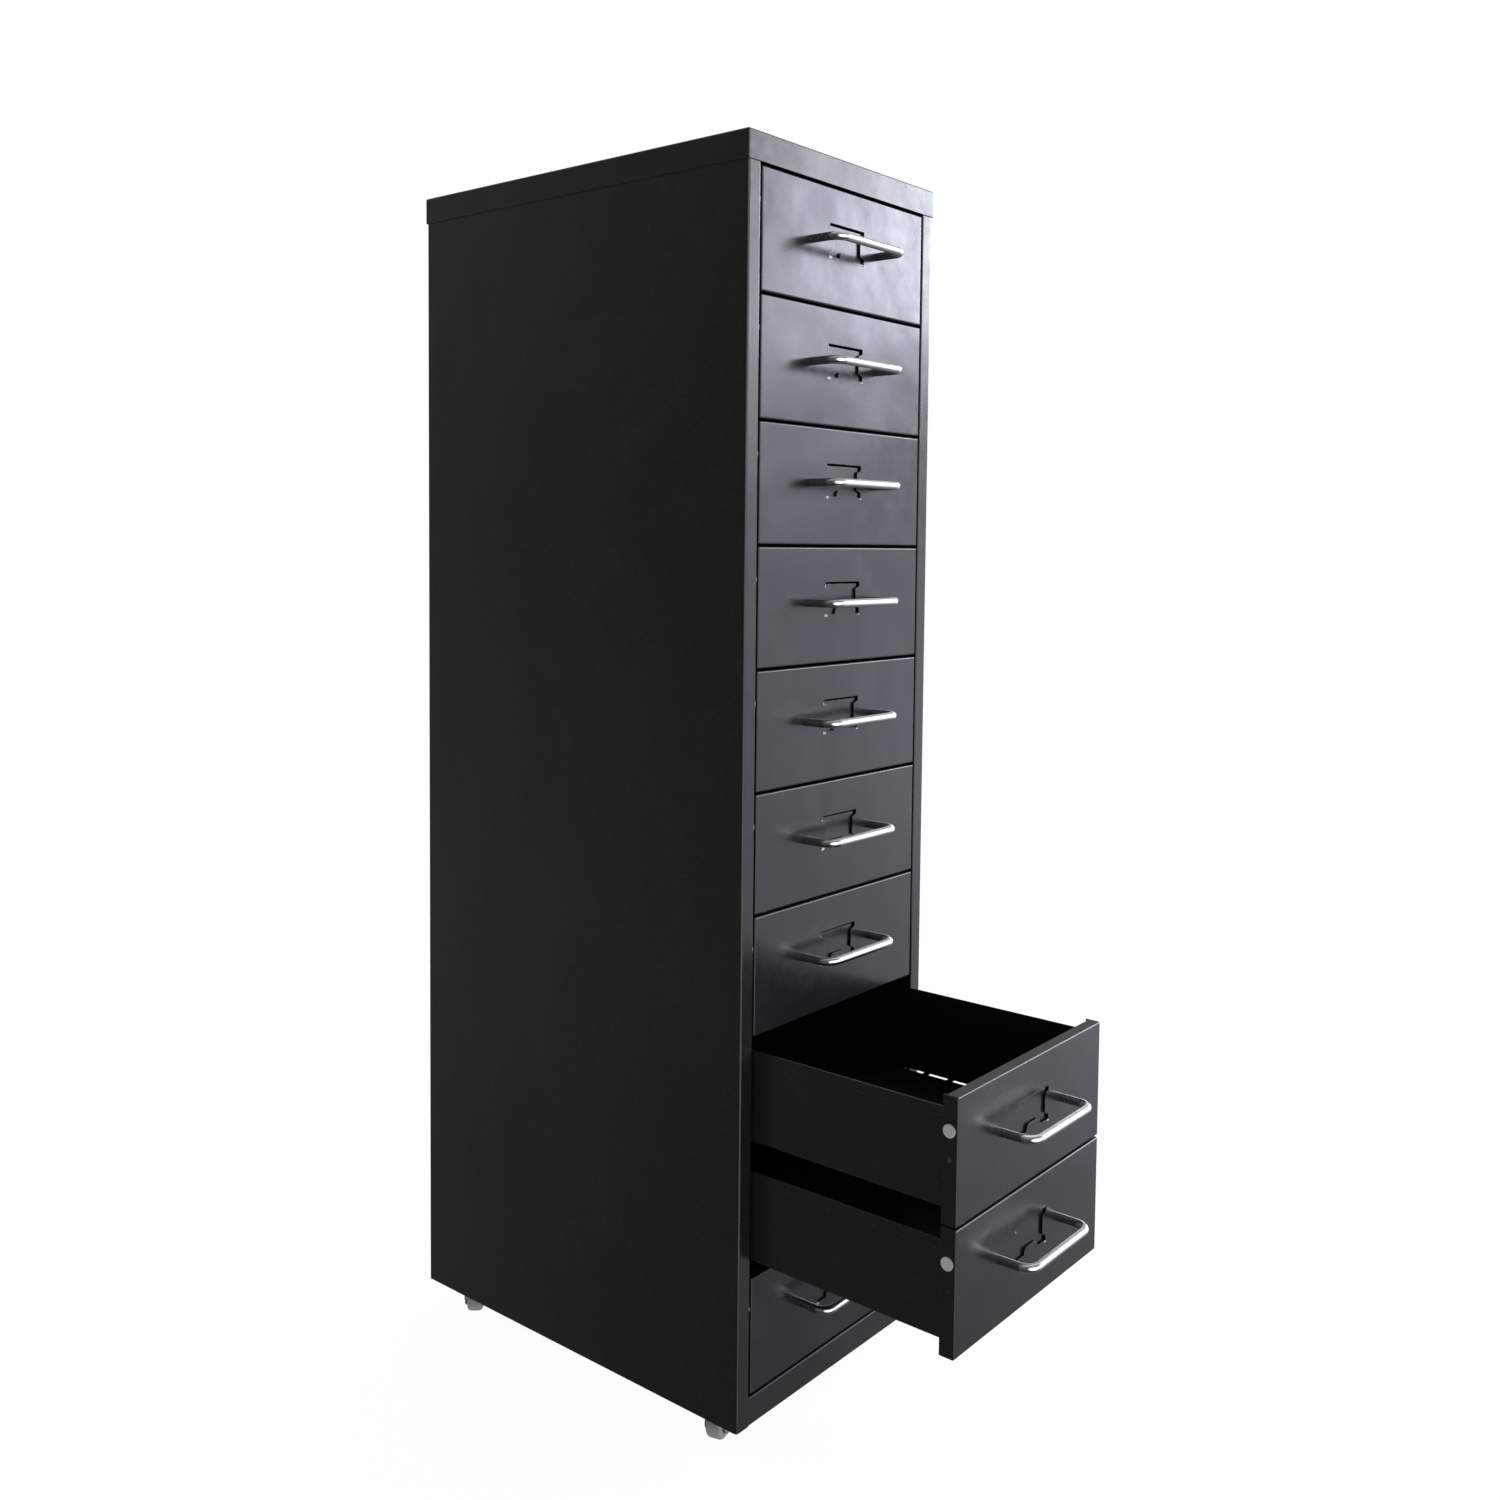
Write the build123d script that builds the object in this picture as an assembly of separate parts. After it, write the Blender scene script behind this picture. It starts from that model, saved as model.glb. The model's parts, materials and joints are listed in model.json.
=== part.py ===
from build123d import *
import os

# Tall ten-drawer cabinet of folded, powder-coated sheet steel on four small swivel casters.
# Millimetres. The origin is on the floor under the middle of the cabinet. +Z is up, the
# drawer fronts face -Y, and +X is to the right of a person who stands in front of them.

# ---- driving dimensions ---------------------------------------------------------------
WIDTH = 266.0  # carcass, over the side panels
DEPTH = 400.0  # carcass, front face to back face
HEIGHT = 1085.5  # floor to the top of the cap
GROUND_CLEARANCE = 25.5  # floor to the lower edge of the carcass
SHEET = 0.8  # every folded panel
DRAWER_COUNT = 10
PITCH = 101.0  # one drawer front and one gap
GAP = 2.0  # round every drawer front
STILE_WIDTH = 15.5  # upright strip at each side of the drawer fronts
RAIL_HEIGHT = 24.5  # strip under the lowest drawer
OPEN_DRAWERS = {8: 195.0, 9: 195.0}  # counted from the top, and how far each stands open
MAX_TRAVEL = 290.0  # where the stop tabs meet the stiles

# ---- carcass --------------------------------------------------------------------------
FRONT_Y = -DEPTH / 2
BACK_Y = DEPTH / 2
SIDE_X = WIDTH / 2
OPENING_X = SIDE_X - STILE_WIDTH
RETURN_DEPTH = 10.0  # inner lip of a stile
BACK_FLANGE = 14.0
BEND_RADIUS = 2.6  # outside radius of the carcass bends
LIP_RADIUS = 1.4  # outside radius of the tighter bends
CAP_OVERHANG = 1.0
CAP_HEIGHT = HEIGHT - GROUND_CLEARANCE - RAIL_HEIGHT - DRAWER_COUNT * PITCH - GAP
CAP_RADIUS = 1.6
SEAM = 0.15  # between two panels that butt together
RAIL_SEAM = 0.05  # between the rail and the foot of each stile
RAIL_TAIL = 5.0  # how far the rail's upper sheet runs on into the floor of the carcass
SCREW_LEVELS = 5  # screws in each back flange under the cap
SCREW_END = 60.0  # lowest and highest of them from the ends of the carcass

# ---- drawers --------------------------------------------------------------------------
FRONT_WIDTH = 2 * OPENING_X - 2 * GAP
FRONT_HEIGHT = PITCH - GAP
EDGE_FLANGE = 10.0  # top and bottom edges of a front
SIDE_FLANGE = 13.0
FRONT_RADIUS = 1.5
TRAY_WIDTH = FRONT_WIDTH - 2 * SHEET
TRAY_LENGTH = 380.0
TRAY_RISE = 12.5  # tray underside over the lower edge of the front
TRAY_HEIGHT = 77.0
TRAY_RADIUS = 1.8
HEM_HEIGHT = 8.0
TRAY_LIP = 10.0  # upturned front edge of the tray floor, welded to the front
SLOT_LENGTH = 20.0  # perforations of the floor beside the fold lines
SLOT_BRIDGE = 6.0
SLOT_INSET = 0.9  # outer face of the tray to the slot
SLOT_WIDTH = 5.0
STOP_TAB_LENGTH = 8.0
STOP_TAB_HEIGHT = 10.0
STOP_TAB_REACH = 4.5
STOP_TAB_DROP = 6.0  # under the hem
STOP_PLAY = 1.0  # between a stop tab and its stile at full travel
RUNNER_SHEET = 1.0
RUNNER_REACH = 24.0
RUNNER_LEG = 20.0
RUNNER_PLAY = 0.5  # under the tray
RUNNER_FRONT = 15.0  # runner end behind the front face

# ---- label holder, measured down from the upper edge of a front --------------------------
LABEL_TOP = 29.8
LABEL_BOTTOM = 57.6
LABEL_HALF = 24.8
LABEL_WAIST = 19.2
LABEL_SHOULDER = 6.2  # height of the wide ends
LABEL_STEP = 2.0  # height of the sloping step to the waist
THUMB_HALF = 10.5
THUMB_HEIGHT = 5.4
THUMB_RADIUS = 3.6
CARD_SLOT = 1.2  # between the front and the card plate
CARD_HALF = 23.3
CARD_TOP_GAP = 1.8
CARD_WELD = 8.0  # foot of the card plate, under the window
CARD_JOGGLE = 2.0  # height over which the card plate steps back

# ---- handle and plugs, measured down from the upper edge of a front ------------------------
HANDLE_DROP = 47.0
HANDLE_CENTRES = 96.0
HANDLE_REACH = 27.0  # front face to the middle of the bar
HANDLE_WIRE = 7.0
HANDLE_BEND = 11.0
SCREW_SHANK = 4.0
SCREW_HEAD = 7.5
SCREW_HEAD_HEIGHT = 2.2
SCREW_DEPTH = 9.0  # screw in the end of the wire
PANEL_SCREW_DEPTH = 8.0
RECESS_HALF = 2.2  # cross recess in a screw head
RECESS_SLOT = 0.5
RECESS_DEPTH = 0.8
PLUG_DROP = 26.5
PLUG_SETBACK = 7.0
PLUG_HEAD = 10.5
PLUG_HEAD_HEIGHT = 1.3
PLUG_STEM = 6.0
PLUG_STEM_LENGTH = 5.0
VENT_DROP = 48.5
VENT_HOLE = 4.2

# ---- casters, on two channels under the floor of the carcass ---------------------------
PAN_UNDERSIDE = GROUND_CLEARANCE + RAIL_HEIGHT - SHEET
CASTER_SEAT = 37.0  # underside of the channels
CHANNEL_WIDTH = 44.0
CHANNEL_FLANGE = 6.0
CHANNEL_SHEET = 1.2
CASTER_INSET_X = 28.0
CASTER_INSET_Y = 39.0
WHEEL_RADIUS = 12.5
WHEEL_WIDTH = 15.0
TREAD_WIDTH = 6.5
SHOULDER_HEIGHT = 5.0
HUB_RADIUS = 4.2
WEB_RECESS = 1.5  # depth of the ring between hub and rim
TRAIL = 8.0  # wheel axle behind the kingpin
TRAIL_HEADINGS = {  # degrees from +X, the way each wheel trails at rest
    "front_left": 195.0,
    "front_right": 152.0,
    "rear_left": 222.0,
    "rear_right": 331.0,
}
AXLE_RADIUS = 2.0
AXLE_HEAD_RADIUS = 3.2
AXLE_HEAD_HEIGHT = 1.2
KINGPIN_RADIUS = 3.0
KINGPIN_HEAD = 2.0  # height of its head, and how far the head stands out round the pin
RUNNING_CLEARANCE = 0.05
CROWN_PLAY = 0.5  # between the plate and the fork
HEAD_PLAY = 0.3  # between the fork and the kingpin's head
FORK_SHEET = 1.6
FORK_SIDE_GAP = 0.6
FORK_EYE = 7.0  # radius of a cheek round the axle
CROWN_RADIUS = 12.5
CROWN_HEIGHT = 3.0
PLATE_SIZE = 38.0
PLATE_THICKNESS = 2.0
PLATE_CORNER = 4.0
RIVET_SPACING = 28.0
RIVET_RADIUS = 2.0
RIVET_HEAD = 3.4
RIVET_HEAD_HEIGHT = 1.2
MERGE = 0.5  # how far pieces of one solid reach into each other
CUT = 5.0  # how far a hole's tool stands out of the sheet at each side


def block(x_span, y_span, z_span):
    """Box between two limits along each axis."""
    size = [span[1] - span[0] for span in (x_span, y_span, z_span)]
    middle = [(span[1] + span[0]) / 2 for span in (x_span, y_span, z_span)]
    return Pos(*middle) * Box(*size)


def rod(radius, start, end):
    """Round bar between two points."""
    axis = Vector(*end) - Vector(*start)
    plane = Plane(origin=start, z_dir=axis)
    return extrude(plane * Circle(radius), axis.length)


def rounded_corner(profile, corner, radius):
    """Profile with the corner nearest to a point rounded."""
    vertex = profile.vertices().sort_by_distance((*corner, 0))[0]
    return fillet(vertex, radius)


def folded(points, outside, inside, bend, thickness):
    """Sheet profile from a closed polygon, with bends of one outside radius at the corners named."""
    profile = make_face(Polyline(*points, close=True))
    for corner in outside:
        profile = rounded_corner(profile, corner, bend)
    for corner in inside:
        profile = rounded_corner(profile, corner, bend - thickness)
    return profile


def mirrored(shape):
    """The same piece on the other side of the cabinet."""
    return mirror(shape, about=Plane.YZ)


def front_top(number):
    """Height of the upper edge of a drawer front, counted from the top."""
    return HEIGHT - CAP_HEIGHT - GAP - (number - 1) * PITCH


# ---- carcass panels -------------------------------------------------------------------


def side_profile(lip):
    """Plan of the left side panel, with or without the lip behind the inner edge of its stile."""
    inner_x = -SIDE_X + SHEET
    flange_x = -SIDE_X + BACK_FLANGE
    lip_x = -OPENING_X - SHEET
    fold_y = FRONT_Y + SHEET
    lip_y = FRONT_Y + RETURN_DEPTH
    edge = [(-OPENING_X, lip_y), (lip_x, lip_y), (lip_x, fold_y)] if lip else [(-OPENING_X, fold_y)]
    points = [
        (flange_x, BACK_Y),
        (-SIDE_X, BACK_Y),
        (-SIDE_X, FRONT_Y),
        (-OPENING_X, FRONT_Y),
        *edge,
        (inner_x, fold_y),
        (inner_x, BACK_Y - SHEET),
        (flange_x, BACK_Y - SHEET),
    ]
    outside = [(-SIDE_X, BACK_Y), (-SIDE_X, FRONT_Y)]
    inside = [(inner_x, BACK_Y - SHEET), (inner_x, fold_y)]
    profile = folded(points, outside, inside, BEND_RADIUS, SHEET)
    if lip:
        profile = rounded_corner(profile, (-OPENING_X, FRONT_Y), LIP_RADIUS)
        profile = rounded_corner(profile, (lip_x, fold_y), LIP_RADIUS - SHEET)
    return profile


def side_panel():
    """Left side panel, folded into the stile in front and the flange at the back."""
    foot_top = GROUND_CLEARANCE + RAIL_HEIGHT
    top = HEIGHT - CAP_RADIUS - SEAM
    foot = Pos(0, 0, GROUND_CLEARANCE) * extrude(side_profile(lip=False), RAIL_HEIGHT)
    upper = Pos(0, 0, foot_top) * extrude(side_profile(lip=True), top - foot_top)
    return foot + upper - screw_holes(BACK_Y)


def screw_places():
    """Distance from the middle and height of the screws along one back flange."""
    x = SIDE_X - BACK_FLANGE / 2
    low = GROUND_CLEARANCE + SCREW_END
    high = HEIGHT - SCREW_END
    step = (high - low) / (SCREW_LEVELS - 1)
    cap_screw = (x, HEIGHT - CAP_HEIGHT / 2)
    return [(x, low + i * step) for i in range(SCREW_LEVELS)] + [cap_screw]


def screw_holes(y):
    """Tools for the screw holes through both back flanges near one depth."""
    holes = []
    for x, z in screw_places():
        for side in (-1, 1):
            holes.append(rod(SCREW_SHANK / 2, (side * x, y - CUT, z), (side * x, y + CUT, z)))
    return holes


def back_panel():
    """Flat sheet held behind the back flanges."""
    x = SIDE_X - BEND_RADIUS - SEAM
    back = BACK_Y - SHEET
    low = GROUND_CLEARANCE + SHEET
    high = HEIGHT - CAP_RADIUS - SEAM
    panel = block((-x, x), (back - SHEET, back), (low, high))
    return panel - screw_holes(back)


def top_cap():
    """Shallow lid with a skirt that stands a little proud of the carcass all round."""
    x = SIDE_X + CAP_OVERHANG
    y = DEPTH / 2 + CAP_OVERHANG
    low = HEIGHT - CAP_HEIGHT
    outer = block((-x, x), (-y, y), (low, HEIGHT))
    outer = fillet(outer.edges().filter_by(Axis.Z), CAP_RADIUS)
    outer = fillet(outer.faces().sort_by(Axis.Z)[-1].edges(), CAP_RADIUS)
    inner = block((-x + SHEET, x - SHEET), (-y + SHEET, y - SHEET), (low - CUT, HEIGHT - SHEET))
    inner = fillet(inner.edges().filter_by(Axis.Z), CAP_RADIUS - SHEET)
    inner = fillet(inner.faces().sort_by(Axis.Z)[-1].edges(), CAP_RADIUS - SHEET)
    return outer - inner - screw_holes(y)


def base_pan():
    """Floor of the carcass, folded down into the front rail and into inner skirts."""
    high = GROUND_CLEARANCE + RAIL_HEIGHT
    low = GROUND_CLEARANCE
    rail_x = OPENING_X - RAIL_SEAM
    side_x = SIDE_X - SHEET - 2 * SEAM
    back = BACK_Y - 2 * SHEET - 2 * SEAM
    shelf = FRONT_Y + RETURN_DEPTH + SEAM
    inner_y = FRONT_Y + SHEET
    points = [
        (shelf + RAIL_TAIL, high),
        (FRONT_Y, high),
        (FRONT_Y, low),
        (shelf, low),
        (shelf, low + SHEET),
        (inner_y, low + SHEET),
        (inner_y, high - SHEET),
        (shelf + RAIL_TAIL, high - SHEET),
    ]
    outside = [(FRONT_Y, high), (FRONT_Y, low)]
    inside = [(inner_y, low + SHEET), (inner_y, high - SHEET)]
    profile = folded(points, outside, inside, LIP_RADIUS, SHEET)
    rail = Pos(-rail_x, 0, 0) * extrude(Plane.YZ * profile, 2 * rail_x)
    floor = block((-side_x, side_x), (shelf, back), (high - SHEET, high))
    skirt = (low + SHEET, high - SHEET / 2)
    left = block((-side_x, -side_x + SHEET), (shelf, back), skirt)
    rear = block((-side_x, side_x), (back - SHEET, back), skirt)
    return rail + floor + left + mirrored(left) + rear


def caster_channel(y):
    """Channel across the carcass under its floor, which carries two casters."""
    high = PAN_UNDERSIDE
    low = CASTER_SEAT
    half = CHANNEL_WIDTH / 2
    inner = half - CHANNEL_SHEET
    right = [
        (inner, low + CHANNEL_SHEET),
        (inner, high),
        (half + CHANNEL_FLANGE, high),
        (half + CHANNEL_FLANGE, high - CHANNEL_SHEET),
        (half, high - CHANNEL_SHEET),
        (half, low),
    ]
    left = [(-across, height) for across, height in reversed(right)]
    outside = [(side * across, height) for side in (-1, 1) for across, height in (right[1], right[5])]
    inside = [(side * across, height) for side in (-1, 1) for across, height in (right[0], right[4])]
    profile = folded(right + left, outside, inside, 2 * CHANNEL_SHEET, CHANNEL_SHEET)
    x = SIDE_X - 2 * SHEET - 3 * SEAM
    channel = Pos(-x, y, 0) * extrude(Plane.YZ * profile, 2 * x)
    for place_x, place_y in caster_places().values():
        if place_y == y:
            channel -= rivet_holes(place_x, place_y, low)
    return channel


def runner(number):
    """Left ledge that one drawer slides on, an angle fixed inside the side panel."""
    tray_low = front_top(number) - FRONT_HEIGHT + TRAY_RISE
    high = tray_low - RUNNER_PLAY
    wall = -SIDE_X + SHEET
    points = [
        (wall, high + RUNNER_LEG),
        (wall, high - RUNNER_SHEET),
        (wall + RUNNER_REACH, high - RUNNER_SHEET),
        (wall + RUNNER_REACH, high),
        (wall + RUNNER_SHEET, high),
        (wall + RUNNER_SHEET, high + RUNNER_LEG),
    ]
    outside = [(wall, high - RUNNER_SHEET)]
    inside = [(wall + RUNNER_SHEET, high)]
    profile = folded(points, outside, inside, 2 * RUNNER_SHEET, RUNNER_SHEET)
    start = FRONT_Y + RUNNER_FRONT
    end = BACK_Y - BEND_RADIUS - SHEET
    return Pos(0, end, 0) * extrude(Plane.XZ * profile, end - start)


def panel_screw(x, y, z):
    """Pan-head screw with a cross recess that enters the back of the cabinet at (x, y, z)."""
    head_end = y + SCREW_HEAD_HEIGHT
    head = rod(SCREW_HEAD / 2, (x, y, z), (x, head_end, z))
    head = fillet(head.faces().sort_by(Axis.Y)[-1].edges(), SCREW_HEAD_HEIGHT * 0.7)
    depth = (head_end - RECESS_DEPTH, head_end + RECESS_DEPTH)
    slot = block((x - RECESS_HALF, x + RECESS_HALF), depth, (z - RECESS_SLOT, z + RECESS_SLOT))
    cross = block((x - RECESS_SLOT, x + RECESS_SLOT), depth, (z - RECESS_HALF, z + RECESS_HALF))
    shank = rod(SCREW_SHANK / 2, (x, y - PANEL_SCREW_DEPTH, z), (x, y + MERGE, z))
    return head + shank - slot - cross


def panel_screws():
    """All the screws in the back of the cabinet."""
    screws = []
    for x, z in screw_places():
        face = BACK_Y + CAP_OVERHANG if z > HEIGHT - CAP_HEIGHT else BACK_Y
        screws += [panel_screw(side * x, face, z) for side in (-1, 1)]
    return screws


# ---- drawers --------------------------------------------------------------------------


def label_opening(top):
    """Window in a front, wide at both ends, with a rounded thumb tab standing in its lower edge."""
    high = top - LABEL_TOP
    low = top - LABEL_BOTTOM
    shoulder_low = low + LABEL_SHOULDER
    shoulder_high = high - LABEL_SHOULDER
    right = [
        (LABEL_HALF, low),
        (LABEL_HALF, shoulder_low - LABEL_STEP),
        (LABEL_WAIST, shoulder_low),
        (LABEL_WAIST, shoulder_high),
        (LABEL_HALF, shoulder_high + LABEL_STEP),
        (LABEL_HALF, high),
    ]
    left = [(-across, height) for across, height in reversed(right)]
    window = make_face(Polyline(*right, *left, close=True))
    tab_foot = low - THUMB_HEIGHT
    tab_top = low + THUMB_HEIGHT
    upper_corners = [(THUMB_HALF, tab_top), (-THUMB_HALF, tab_top)]
    lower_corners = [(-THUMB_HALF, tab_foot), (THUMB_HALF, tab_foot)]
    tab = make_face(Polyline(*lower_corners, *upper_corners, close=True))
    for corner in upper_corners:
        tab = rounded_corner(tab, corner, THUMB_RADIUS)
    window -= tab
    return Pos(0, FRONT_Y + CUT, 0) * extrude(Plane.XZ * window, 2 * CUT - SHEET)


def card_plate(top):
    """Plate behind the window that a label card slides in front of, joggled and welded below it."""
    face = FRONT_Y + SHEET
    plate = face + CARD_SLOT
    high = top - LABEL_TOP - CARD_TOP_GAP
    low = top - LABEL_BOTTOM - CARD_WELD
    step_high = low + CARD_WELD - CARD_JOGGLE
    step_low = step_high - CARD_JOGGLE
    points = [
        (plate, high),
        (plate, step_high),
        (face, step_low),
        (face, low),
        (face + SHEET, low),
        (face + SHEET, step_low),
        (plate + SHEET, step_high),
        (plate + SHEET, high),
    ]
    profile = make_face(Polyline(*points, close=True))
    return Pos(-CARD_HALF, 0, 0) * extrude(Plane.YZ * profile, 2 * CARD_HALF)


def drawer_front(number):
    """Shallow pan with its label holder, its handle holes and the holes in its side flanges."""
    top = front_top(number)
    low = top - FRONT_HEIGHT
    x = FRONT_WIDTH / 2
    back = FRONT_Y + SIDE_FLANGE
    outer = block((-x, x), (FRONT_Y, back), (low, top))
    outer = fillet(outer.edges().filter_by(Axis.Y), SHEET)
    outer = fillet(outer.faces().sort_by(Axis.Y)[0].edges(), FRONT_RADIUS)
    inner = block((-x + SHEET, x - SHEET), (FRONT_Y + SHEET, back + CUT), (low + SHEET, top - SHEET))
    inner = fillet(inner.faces().sort_by(Axis.Y)[0].edges(), FRONT_RADIUS - SHEET)
    trim_x = x - 2 * SHEET
    trim = block((-trim_x, trim_x), (FRONT_Y + EDGE_FLANGE, back + CUT), (low - CUT, top + CUT))
    pan = outer - inner - trim - label_opening(top) + card_plate(top)
    handle_z = top - HANDLE_DROP
    for side in (-1, 1):
        hole_x = side * HANDLE_CENTRES / 2
        pan -= rod(SCREW_SHANK / 2, (hole_x, FRONT_Y - CUT, handle_z), (hole_x, FRONT_Y + CUT, handle_z))
    return pan - flange_holes(top)


def flange_holes(top):
    """Plug hole and vent hole through both side flanges and the tray walls in them."""
    x = FRONT_WIDTH / 2 + CUT
    y = FRONT_Y + PLUG_SETBACK
    plug_z = top - PLUG_DROP
    vent_z = top - VENT_DROP
    plug_hole = rod(PLUG_STEM / 2, (-x, y, plug_z), (x, y, plug_z))
    vent_hole = rod(VENT_HOLE / 2, (-x, y, vent_z), (x, y, vent_z))
    return [plug_hole, vent_hole]


def fold_slots(floor):
    """Perforations of a tray's floor beside its fold lines, along both sides and the back."""
    slots = []
    step = SLOT_LENGTH + SLOT_BRIDGE
    outer = TRAY_WIDTH / 2 - SLOT_INSET
    front = FRONT_Y + SIDE_FLANGE + SLOT_BRIDGE
    back = FRONT_Y + SHEET + TRAY_LENGTH
    z_span = (floor - CUT, floor + SHEET + MERGE)
    for i in range(int((back - front) // step)):
        start = front + i * step
        slot = block((-outer, -outer + SLOT_WIDTH), (start, start + SLOT_LENGTH), z_span)
        slots += [slot, mirrored(slot)]
    across = int((TRAY_WIDTH - 2 * step) // step)
    first = -(across * step - SLOT_BRIDGE) / 2
    y_span = (back - SLOT_INSET - SLOT_WIDTH, back - SLOT_INSET)
    for i in range(across):
        start = first + i * step
        slots.append(block((start, start + SLOT_LENGTH), y_span, z_span))
    return slots


def drawer_tray(number):
    """Folded tray: floor, two hemmed sides and a back, with a short lip against the front."""
    top = front_top(number)
    floor = top - FRONT_HEIGHT + TRAY_RISE
    rim = floor + TRAY_HEIGHT
    x = TRAY_WIDTH / 2
    front = FRONT_Y + SHEET
    back = front + TRAY_LENGTH
    wall_front = FRONT_Y + FRONT_RADIUS
    points = [
        (-x, rim),
        (-x, floor),
        (x, floor),
        (x, rim),
        (x - SHEET, rim),
        (x - SHEET, floor + SHEET),
        (-x + SHEET, floor + SHEET),
        (-x + SHEET, rim),
    ]
    outside = [(-x, floor), (x, floor)]
    inside = [(-x + SHEET, floor + SHEET), (x - SHEET, floor + SHEET)]
    profile = folded(points, outside, inside, TRAY_RADIUS, SHEET)
    channel = Pos(0, back, 0) * extrude(Plane.XZ * profile, back - wall_front)
    rear = block((-x + SHEET / 2, x - SHEET / 2), (back - SHEET, back), (floor + SHEET / 2, rim))
    lip_x = x - SIDE_FLANGE
    lip = block((-lip_x, lip_x), (front, front + SHEET), (floor, floor + TRAY_LIP))
    lip += block((-lip_x, lip_x), (front, wall_front + SHEET), (floor, floor + SHEET))
    hem_front = FRONT_Y + SIDE_FLANGE + SEAM
    hem = block((-x - SHEET, -x + SHEET), (hem_front, back), (rim - HEM_HEIGHT, rim))
    hem = fillet(hem.edges().filter_by(Axis.Y).sort_by(Axis.Z)[-2:], SHEET * 0.9)
    tab_y = FRONT_Y + RETURN_DEPTH + MAX_TRAVEL + STOP_PLAY
    tab_end = tab_y + STOP_TAB_LENGTH
    tab_z = rim - HEM_HEIGHT - STOP_TAB_DROP
    tab_out = -x - STOP_TAB_REACH
    tab = block((tab_out, -x + SHEET), (tab_y, tab_end), (tab_z - STOP_TAB_HEIGHT, tab_z))
    tab -= block((tab_out - CUT, -x), (tab_y + SHEET, tab_end + CUT), (tab_z - 3 * CUT, tab_z + CUT))
    tray = channel + rear + lip + hem + mirrored(hem) + tab + mirrored(tab)
    return tray - fold_slots(floor) - flange_holes(top)


def drawer_handle(number):
    """Bent wire handle, drilled at both ends for the two screws that hold it."""
    z = front_top(number) - HANDLE_DROP
    x = HANDLE_CENTRES / 2
    bar_y = FRONT_Y - HANDLE_REACH
    corners = [(-x, FRONT_Y, z), (-x, bar_y, z), (x, bar_y, z), (x, FRONT_Y, z)]
    path = FilletPolyline(*corners, radius=HANDLE_BEND)
    start = Plane(origin=corners[0], z_dir=(0, -1, 0))
    wire = sweep(start * Circle(HANDLE_WIRE / 2), path)
    inner_face = FRONT_Y + SHEET
    screws = []
    for side in (-1, 1):
        end = (side * x, FRONT_Y - SCREW_DEPTH, z)
        seat = (side * x, inner_face, z)
        shank = rod(SCREW_SHANK / 2, end, (side * x, inner_face + MERGE, z))
        head = rod(SCREW_HEAD / 2, seat, (side * x, inner_face + SCREW_HEAD_HEIGHT, z))
        head = fillet(head.faces().sort_by(Axis.Y)[-1].edges(), SCREW_HEAD_HEIGHT / 2)
        wire -= rod(SCREW_SHANK / 2, end, seat)
        screws.append(shank + head)
    return [wire] + screws


def drawer_plugs(number):
    """Round plastic plugs that close the joint holes at both sides of a drawer."""
    z = front_top(number) - PLUG_DROP
    y = FRONT_Y + PLUG_SETBACK
    face = FRONT_WIDTH / 2
    plugs = []
    for side in (-1, 1):
        head = rod(PLUG_HEAD / 2, (side * face, y, z), (side * (face + PLUG_HEAD_HEIGHT), y, z))
        rim_face = head.faces().sort_by(Axis.X)[-1 if side > 0 else 0]
        head = fillet(rim_face.edges(), PLUG_HEAD_HEIGHT / 2)
        stem = rod(PLUG_STEM / 2, (side * (face + MERGE), y, z), (side * (face - PLUG_STEM_LENGTH), y, z))
        plugs.append(head + stem)
    return plugs


# ---- casters --------------------------------------------------------------------------


def caster_places():
    """Kingpin centres by caster name."""
    x = SIDE_X - CASTER_INSET_X
    y = DEPTH / 2 - CASTER_INSET_Y
    return {
        "front_left": (-x, -y),
        "front_right": (x, -y),
        "rear_left": (-x, y),
        "rear_right": (x, y),
    }


def rivet_places(x, y):
    """The four rivets of one caster plate."""
    half = RIVET_SPACING / 2
    return [(x + i * half, y + j * half) for i in (-1, 1) for j in (-1, 1)]


def rivet_holes(x, y, z):
    """Tools for the rivet holes of one caster through a sheet at one height."""
    holes = []
    for place_x, place_y in rivet_places(x, y):
        holes.append(rod(RIVET_RADIUS, (place_x, place_y, z - CUT), (place_x, place_y, z + CUT)))
    return holes


def caster_plate(x, y):
    """Mounting plate with the headed kingpin that the fork turns on."""
    half = PLATE_SIZE / 2
    low = CASTER_SEAT - PLATE_THICKNESS
    plate = block((x - half, x + half), (y - half, y + half), (low, CASTER_SEAT))
    plate = fillet(plate.edges().filter_by(Axis.Z), PLATE_CORNER)
    race = rod(CROWN_RADIUS - FORK_SHEET, (x, y, low - CROWN_PLAY * 0.8), (x, y, low + MERGE))
    pin_low = low - CROWN_PLAY - CROWN_HEIGHT - HEAD_PLAY
    pin = rod(KINGPIN_RADIUS, (x, y, pin_low), (x, y, low + MERGE))
    head = rod(KINGPIN_RADIUS + KINGPIN_HEAD, (x, y, pin_low - KINGPIN_HEAD), (x, y, pin_low))
    head = fillet(head.faces().sort_by(Axis.Z)[0].edges(), KINGPIN_HEAD * 0.6)
    return plate + race + pin + head - rivet_holes(x, y, low)


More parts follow.
